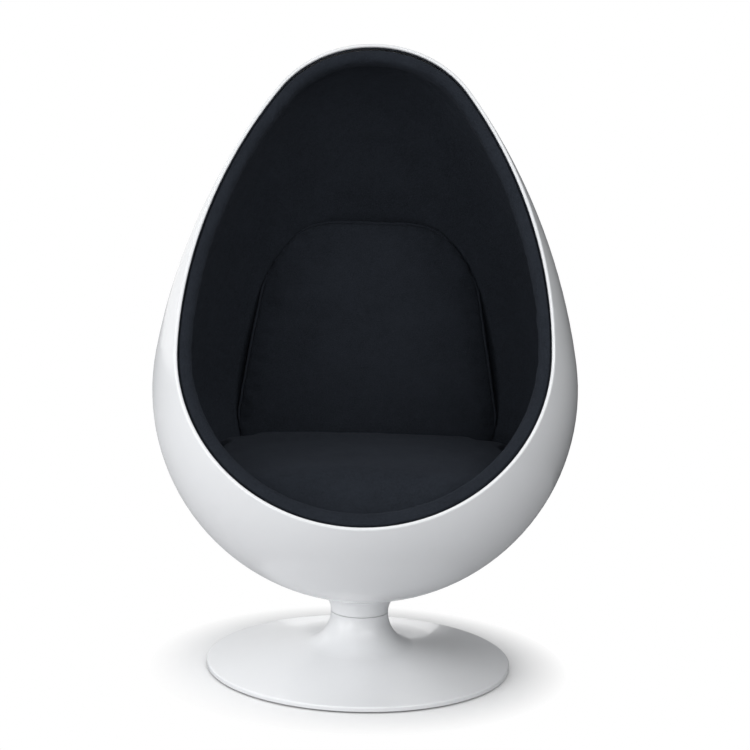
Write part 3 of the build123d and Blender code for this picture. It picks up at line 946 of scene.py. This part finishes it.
@dataclass(frozen=True)
class Stuffing:
    """How a padded piece swells: its cloth and the limits it is held to."""

    voxel: float = 0.006
    shrink: float = 0.004
    pressure: float = 4.0
    surplus: float = 0.02
    cap: float = 0.022
    frames: int = 20
    proud: float = 0.0015
    ripple: float = 0.0012
    ripple_scale: float = 11.0
    fine_ripple: float = 2.7
    settling: float = 0.6
    smooth: int = 3
    stiffness: float = 0.8
    tension: float = 14.0
    shear: float = 6.0
    cloth_mass: float = 0.25
    quality: int = 5

    def swell(self, piece: Piece, held: list[int]) -> None:
        """Blows the cover up by simulation, its seams held in place.

        Args:
            piece: the piece, already remeshed.
            held: vertices that stay where they are.
        """
        group = piece.vertex_groups.new(name="held")
        group.add(held, 1.0, "REPLACE")
        cloth = piece.modifiers.new("Cloth", "CLOTH")
        settings = cloth.settings
        settings.quality = self.quality
        settings.mass = self.cloth_mass
        settings.tension_stiffness = settings.compression_stiffness = self.tension
        settings.shear_stiffness = self.shear
        settings.bending_stiffness = self.stiffness
        settings.use_pressure = True
        settings.uniform_pressure_force = self.pressure
        settings.shrink_min = -self.surplus
        settings.vertex_group_mass = group.name
        settings.effector_weights.gravity = 0.0
        cloth.point_cache.frame_start = 1
        cloth.point_cache.frame_end = self.frames
        for number in range(1, self.frames + 1):
            bpy.context.scene.frame_set(number)
            bpy.context.evaluated_depsgraph_get().update()
        settle_modifiers(piece)
        bpy.context.scene.frame_set(1)
        piece.vertex_groups.clear()

    def fill(self, piece: Piece, holds: Callable[[Vector], bool],
             fuller: Callable[[Vector, Vector], Vector]) -> None:
        """Remeshes a piece, lets it swell in its solid's space and fills it out.

        Args:
            piece: a copy of the solid.
            holds: tells for a point whether the cover is held there.
            fuller: the last move of a point, from its place and its normal.
        """
        space = BVHTree.FromObject(piece, bpy.context.evaluated_depsgraph_get())
        remesh(piece, self.voxel)
        shift_along_normals(piece, lambda point: -self.shrink)
        start = [vertex.co.copy() for vertex in piece.data.vertices]
        self.swell(piece, [k for k, point in enumerate(start) if holds(point)])
        for vertex, before in zip(piece.data.vertices, start):
            moved = vertex.co - before
            if moved.length > self.cap:
                vertex.co = before + moved * (self.cap / moved.length)
            self.keep_inside(vertex, space)
        normals = [vertex.normal.copy() for vertex in piece.data.vertices]
        for vertex, normal in zip(piece.data.vertices, normals):
            vertex.co += fuller(vertex.co, normal)
        form = bmesh.new()
        form.from_mesh(piece.data)
        relax(form, form.verts[:], self.smooth)
        for vertex in form.verts:
            place = vertex.co * self.ripple_scale
            uneven = noise.noise(place) + 0.5 * noise.noise(place * self.fine_ripple)
            vertex.co += vertex.normal * self.ripple * (uneven - self.settling)
        form.to_mesh(piece.data)
        form.free()

    def keep_inside(self, vertex: bpy.types.MeshVertex, space: BVHTree) -> None:
        """Brings a vertex back if it stands out of the solid by more than the allowance.

        Args:
            vertex: the vertex.
            space: the solid's surface.
        """
        place, normal, _, _ = space.find_nearest(vertex.co)
        out = (vertex.co - place).dot(normal)
        if out > self.proud:
            vertex.co = place + normal * self.proud


def draw_in(piece: Piece, path: list[Vector], width: float, depth: float) -> None:
    """Pulls a seam into the cover along a path.

    Args:
        piece: the padded piece.
        path: points along the seam.
        width: how far to each side the cover follows.
        depth: how deep the seam lies.
    """
    tree = KDTree(len(path))
    for number, point in enumerate(path):
        tree.insert(point, number)
    tree.balance()

    def pull(point: Vector) -> float:
        """How far a point of the cover sinks, most on the seam itself."""
        return -depth * max(0.0, 1 - tree.find(point)[2] / width) ** 2

    shift_along_normals(piece, pull)


def piping(name: str, path: list[Vector], radius: float) -> Piece:
    """A covered cord sewn along a closed path.

    Args:
        name: the piece's name.
        path: points along its middle.
        radius: half its thickness.

    Returns:
        The piping.
    """
    line = bpy.data.curves.new(name, "CURVE")
    line.dimensions = "3D"
    line.bevel_depth = radius
    line.bevel_resolution = 3
    spline = line.splines.new("POLY")
    spline.points.add(len(path) - 1)
    for target, point in zip(spline.points, path):
        target.co = (*point, 1.0)
    spline.use_cyclic_u = True
    carrier = bpy.data.objects.new(name + "_line", line)
    bpy.context.scene.collection.objects.link(carrier)
    graph = bpy.context.evaluated_depsgraph_get()
    mesh = bpy.data.meshes.new_from_object(carrier.evaluated_get(graph))
    bpy.data.objects.remove(carrier)
    form = bmesh.new()
    form.from_mesh(mesh)
    weld(form, CORD_WELD)
    return new_piece(form, name)


@dataclass
class Cushion:
    """A loose cushion: a swollen cover with a piped seam round its domed face."""

    node: str
    crown: Crown
    rest_height: float
    piping_radius: float = 0.0026
    most_lift: float = 0.0
    right_lift: float = 0.0
    lift_share: float = 0.6
    soft_before: float = -1.0
    soft_above: float = 0.03
    soft_rounds: int = 0
    seam_band: float = 0.0035
    rest_band: float = 0.012
    seam_rounds: int = 6
    seam_width: float = 0.012
    seam_sink: float = 0.0028
    stuffing: Stuffing = field(default_factory=Stuffing)

    def held(self, point: Vector) -> bool:
        """Whether the cover is held at a point: along the seam and where it lies on something."""
        at_seam = abs(self.crown.above_seam(point)) < self.seam_band
        return at_seam or point.z < self.rest_height + self.rest_band

    def fuller(self, point: Vector, normal: Vector) -> Vector:
        """Lifts the falling borders of the dome, where the stuffing packs tight.

        Args:
            point: a point of the cover.
            normal: the cover's direction there.

        Returns:
            How far and which way the point moves.
        """
        lift = min(self.most_lift, self.crown.drop(point) * self.lift_share)
        lift += self.right_lift * max(0.0, point.x)
        return self.crown.direction * lift * max(0.0, normal.dot(self.crown.direction))

    def round_front(self, piece: Piece) -> None:
        """Softens the front of the dome into one broad curve.

        Args:
            piece: the swollen cover.
        """
        form = bmesh.new()
        form.from_mesh(piece.data)
        low = self.rest_height + self.soft_above
        front = [vertex for vertex in form.verts
                 if vertex.co.y < self.soft_before and vertex.co.z > low]
        relax(form, front, self.soft_rounds)
        form.to_mesh(piece.data)
        form.free()

    def make(self) -> None:
        """Builds the cushion and its piping."""
        piece = copy_of_node(self.node, self.node + "_cover")
        self.stuffing.fill(piece, self.held, self.fuller)
        self.round_front(piece)
        path = eased(self.crown.seam(piece), self.seam_rounds)
        draw_in(piece, path, self.seam_width, self.seam_sink)
        soften(piece)
        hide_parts(self.node)
        WARDROBE.dress_piece(piece, "navy_knit", "pod")
        welt = piping(self.node + "_piping", path, self.piping_radius)
        WARDROBE.dress_piece(welt, "navy_knit", "pod")


@dataclass
class Lining:
    """Foam in the shell, the knitted cover on it and the padded roll round the opening."""

    foam: tuple[float, float] = (0.0073, 0.0273)
    cover: tuple[float, float] = (0.0276, 0.0301)
    hole_radius: float = 0.118
    roll_back: float = 0.045
    gap: float = 0.0003
    middle: Vector = field(default_factory=lambda: Vector((0, -0.15, 0.78)))
    roll_fullness: float = 0.005
    low_fullness: float = 0.009
    rim_gap: float = 0.009
    rim_reach: float = 0.35
    sewn_band: float = 0.008
    tuck_inset: float = 0.0087
    tuck_back: float = 0.008
    tuck_radius: float = 0.0014
    piping_radius: float = 0.0026
    stuffing: Stuffing = field(default_factory=lambda: Stuffing(
        voxel=0.005, shrink=0.002, cap=0.006, ripple=0.0006, ripple_scale=26.0))

    def rim_height(self, inset: float) -> float:
        """Height of the hole's edge round the swivel on a layer at an inset."""
        radius = EGG.cap_radius - inset
        return EGG.centre_height - math.sqrt(radius**2 - self.hole_radius**2)

    def layer(self, name: str, node: str, insets: tuple[float, float], slot: str) -> Piece:
        """Builds one layer in the place of its node.

        Args:
            name: the piece's name.
            node: the node that it stands for.
            insets: its outer and inner inset.
            slot: its finish.

        Returns:
            The layer.
        """
        wall = EGG.layer(*insets, self.roll_back + self.gap, self.rim_height(insets[0]))
        piece = new_piece(wall, name)
        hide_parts(node)
        WARDROBE.dress_piece(piece, slot, "pod")
        return piece

    def held(self, point: Vector) -> bool:
        """Whether the roll's cover is held: where it is glued to the shell or sewn at the back."""
        behind = EGG.opening_reach - (point - Vector((0, 0, EGG.centre_height))).dot(EGG.out)
        return behind > self.roll_back - self.sewn_band

    def fuller(self, point: Vector, normal: Vector) -> Vector:
        """Pads the roll towards the middle of the opening and draws it off the rim.

        Args:
            point: a point of the roll's cover.
            normal: the cover's direction there.

        Returns:
            How far and which way the point moves.
        """
        inward = self.middle - point
        inward = (inward - EGG.out * inward.dot(EGG.out)).normalized()
        share = normal.dot(inward)
        if share > 0:
            return inward * share * (self.roll_fullness + self.low_fullness * max(0.0, inward.z))
        return inward * -share * self.rim_gap * max(0.0, normal.dot(EGG.out) + self.rim_reach)

    def make(self) -> None:
        """Builds the layers, the roll and the piping between them."""
        self.layer("lining_foam_layer", "lining_foam", self.foam, "foam")
        self.layer("lining_cover_layer", "lining_cover", self.cover, "navy_knit")
        roll = copy_of_node("edge_roll", "edge_roll_cover")
        self.stuffing.fill(roll, self.held, self.fuller)
        soften(roll)
        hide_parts("edge_roll")
        WARDROBE.dress_piece(roll, "navy_knit", "pod")
        self.cord("roll_piping", self.cover[1] + self.piping_radius,
                  self.roll_back + self.piping_radius, self.piping_radius)
        self.cord("roll_tuck", self.tuck_inset, self.tuck_back, self.tuck_radius)

    def cord(self, name: str, inset: float, setback: float, radius: float) -> None:
        """Sews a covered cord round the opening.

        Args:
            name: the piece's name.
            inset: how far inside the egg's surface its middle runs.
            setback: how far behind the opening's plane.
            radius: half its thickness.
        """
        form = EGG.surface(inset)
        EGG.cut_opening(form, setback)
        path = loop_points([edge for edge in form.edges if edge.is_boundary])
        form.free()
        WARDROBE.dress_piece(piping(name, path, radius), "navy_knit", "pod")


@dataclass
class SeatBlock:
    """The covered foam block under the seat cushion."""

    voxel: float = 0.008

    def make(self) -> None:
        """Builds the block."""
        piece = copy_of_node("seat_block", "seat_block_cover")
        remesh(piece, self.voxel)
        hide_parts("seat_block")
        WARDROBE.dress_piece(piece, "navy_knit", "pod")


@dataclass
class FloorFelt:
    """The felt disc that the pedestal stands on."""

    radius: float = 0.294
    thickness: float = 0.003
    rounding: float = 0.0008
    sides: int = 128

    def make(self) -> None:
        """Builds the disc with its edges rubbed round."""
        form = bmesh.new()
        bmesh.ops.create_circle(form, cap_ends=True, segments=self.sides, radius=self.radius)
        raised = bmesh.ops.extrude_face_region(form, geom=form.faces[:])
        verts = [item for item in raised["geom"] if isinstance(item, Vert)]
        bmesh.ops.translate(form, verts=verts, vec=(0, 0, self.thickness))
        bmesh.ops.recalc_face_normals(form, faces=form.faces[:])
        half = self.thickness / 2
        rims = [edge for edge in form.edges if abs(edge.verts[0].co.z - edge.verts[1].co.z) < half]
        bmesh.ops.bevel(form, geom=rims, offset=self.rounding, affect="EDGES",
                        segments=3, profile=0.5, material=-1)
        piece = new_piece(form, "floor_felt")
        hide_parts("floor_pad")
        WARDROBE.dress_piece(piece, "felt", "pedestal")


# ---------------------------------------------------------------- studio

@dataclass(frozen=True)
class Lamp:
    """A soft square lamp, aimed at a height on the swivel axis."""

    name: str
    place: tuple[float, float, float]
    size: float
    power: float
    aim: float = 0.5

    def make(self) -> None:
        """Adds the lamp to the scene."""
        data = bpy.data.lights.new(self.name, "AREA")
        data.size = self.size
        data.energy = self.power
        lamp = bpy.data.objects.new(self.name, data)
        lamp.location = self.place
        ahead = Vector((0, 0, self.aim)) - lamp.location
        lamp.rotation_euler = ahead.to_track_quat("-Z", "Y").to_euler()
        bpy.context.scene.collection.objects.link(lamp)


@dataclass
class Studio:
    """Camera, floor, sky, dark card and lamps."""

    distance: float = 3.49906
    height: float = 1.1188
    lens: float = 83.926
    sensor: float = 36.0
    pitch: float = 0.14595
    yaw: float = 0.00539
    roll: float = 0.02704
    turn: float = 0.01826
    sky: float = 0.45
    card_radius: float = 1.25
    card_height: float = 2.2
    card_lift: float = 0.02
    card_start: float = math.radians(-25)
    card_sweep: float = math.radians(105)
    card_steps: int = 24
    floor_reach: float = 12.0
    shadow_near: float = 0.3
    shadow_far: float = 0.43
    lamps: tuple[Lamp, ...] = (
        Lamp("fill", (1.31, -2.27, 2.34), 2.2, 36.0),
        Lamp("left", (-2.6, -1.5, 1.6), 2.2, 15.5),
        Lamp("key", (-1.5, -2.6, 1.6), 2.2, 8.5),
        Lamp("front_high", (0.0, -2.26, 2.76), 2.2, 6.0),
        Lamp("low_left", (-1.3, -1.9, 0.42), 0.8, 6.5, aim=0.35),
        Lamp("low_side", (-2.1, -0.8, 0.42), 0.8, 4.5, aim=0.35),
        Lamp("back_left", (-2.27, 1.31, 2.34), 2.2, 14.0),
        Lamp("behind", (0.6, 3.1, 1.3), 2.2, 19.0),
    )

    def camera(self) -> None:
        """Sets up the camera at the photograph's place."""
        level = math.cos(self.pitch)
        ahead = Vector((math.sin(self.yaw) * level, math.cos(self.yaw) * level,
                        -math.sin(self.pitch)))
        right = ahead.cross(UP).normalized()
        over = right.cross(ahead)
        across = right * math.cos(self.roll) + over * math.sin(self.roll)
        upward = over * math.cos(self.roll) - right * math.sin(self.roll)
        pose = Matrix((across, upward, -ahead)).transposed().to_4x4()
        pose.translation = Vector((0, -self.distance, self.height))
        data = bpy.data.cameras.new("camera")
        data.lens = self.lens
        data.sensor_width = self.sensor
        data.clip_end = 60.0
        camera = bpy.data.objects.new("camera", data)
        camera.matrix_world = Matrix.Rotation(self.turn, 4, "Z") @ pose
        bpy.context.scene.collection.objects.link(camera)
        bpy.context.scene.camera = camera

    def white_where_seen(self, graph: Graph) -> Socket:
        """1 for what the camera sees directly, in gloss or through glass, and 0 for light.

        Args:
            graph: the world's tree.

        Returns:
            The socket of that number.
        """
        path = graph.add("ShaderNodeLightPath")
        seen = graph.math("MAXIMUM", path.outputs["Is Camera Ray"], path.outputs["Is Glossy Ray"])
        return graph.math("MAXIMUM", seen, path.outputs["Is Transmission Ray"])

    def world(self) -> None:
        """White where it is seen, and a plain level of light elsewhere."""
        world = bpy.data.worlds.new("studio")
        world.use_nodes = True
        graph = Graph(world.node_tree)
        light = world.node_tree.nodes["Background"]
        graph.feed(light, Color=(0.95, 0.975, 1.0, 1.0), Strength=self.sky)
        white = graph.feed(graph.add("ShaderNodeBackground"), Color=(1, 1, 1, 1), Strength=1.0)
        mixed = graph.mix(self.white_where_seen(graph), light.outputs[0], white.outputs[0])
        graph.feed(world.node_tree.nodes["World Output"], Surface=mixed)
        bpy.context.scene.world = world

    def floor(self) -> None:
        """A pale floor that shows white away from the chair and keeps its shadow near it."""
        form = bmesh.new()
        bmesh.ops.create_grid(form, x_segments=1, y_segments=1, size=self.floor_reach)
        floor = new_piece(form, "floor")
        made = bpy.data.materials.new("floor")
        made.use_nodes = True
        graph = Graph(made.node_tree)
        shader = made.node_tree.nodes["Principled BSDF"]
        seen = graph.add("ShaderNodeLightPath").outputs["Is Camera Ray"]
        color = graph.blend(seen, (0.55, 0.55, 0.56), (0.95, 0.95, 0.95))
        graph.feed(shader, Base_Color=color, Roughness=0.9, Specular_IOR_Level=0.1)
        place = graph.add("ShaderNodeTexCoord").outputs["Object"]
        away = graph.feed(graph.add("ShaderNodeVectorMath", operation="LENGTH"), Vector=place)
        far = graph.spread(away.outputs["Value"], self.shadow_near, self.shadow_far)
        white = graph.feed(graph.add("ShaderNodeEmission"), Color=(1, 1, 1, 1), Strength=1.0)
        mixed = graph.mix(graph.math("MULTIPLY", far, seen), shader.outputs[0], white.outputs[0])
        graph.feed(made.node_tree.nodes["Material Output"], Surface=mixed)
        floor.data.materials.append(made)

    def card(self) -> None:
        """A curved dark card on the right that keeps that side of the room dim."""
        form = bmesh.new()
        low = form.verts.new((self.card_radius, 0, self.card_lift))
        high = form.verts.new((self.card_radius, 0, self.card_height))
        side = form.edges.new((low, high))
        bmesh.ops.spin(form, geom=[low, high, side], cent=(0, 0, 0), axis=UP,
                       angle=self.card_sweep, steps=self.card_steps)
        bmesh.ops.rotate(form, verts=form.verts[:], cent=(0, 0, 0),
                         matrix=Matrix.Rotation(self.card_start, 3, "Z"))
        card = new_piece(form, "dark_card")
        made = bpy.data.materials.new("dark_card")
        made.use_nodes = True
        shader = made.node_tree.nodes["Principled BSDF"]
        Graph(made.node_tree).feed(shader, Base_Color=(0.04, 0.04, 0.04, 1.0), Roughness=1.0,
                                   Specular_IOR_Level=0.0)
        card.data.materials.append(made)
        card.visible_camera = False

    def make(self) -> None:
        """Builds the whole studio."""
        bpy.context.scene.view_settings.view_transform = "Standard"
        self.camera()
        self.world()
        self.floor()
        self.card()
        for lamp in self.lamps:
            lamp.make()


# ---------------------------------------------------------------- the chair

@dataclass
class PodChair:
    """The whole chair: its pedestal and swivel as packed, and its upholstery."""

    lining: Lining = field(default_factory=Lining)
    block: SeatBlock = field(default_factory=SeatBlock)
    felt: FloorFelt = field(default_factory=FloorFelt)
    seat: Cushion = field(default_factory=lambda: Cushion(
        "seat_cushion", Crown(Vector((0, 0, 0.4594)), UP, 2.1, 0.056, 0.087), 0.3374,
        most_lift=0.009, right_lift=0.016, soft_before=-0.1, soft_rounds=50,
        stuffing=Stuffing(surplus=0.006, stiffness=6.0, ripple=0.0008)))
    back: Cushion = field(default_factory=lambda: Cushion(
        "back_cushion",
        Crown(EGG.placing @ Vector((0, 0.222, 0.12)),
              EGG.placing.to_3x3() @ Vector((0, -1, 0)), 1.5, 0.012),
        0.335))

    def make(self) -> None:
        """Dresses the nodes and builds the soft goods."""
        WARDROBE.dress_nodes()
        self.felt.make()
        self.lining.make()
        self.block.make()
        self.seat.make()
        self.back.make()


def main() -> None:
    """Builds the studio and the chair in order."""
    logging.basicConfig(level=logging.INFO, format="%(name)s: %(message)s")
    Studio().make()
    PodChair().make()


if __name__ == "__main__":
    main()
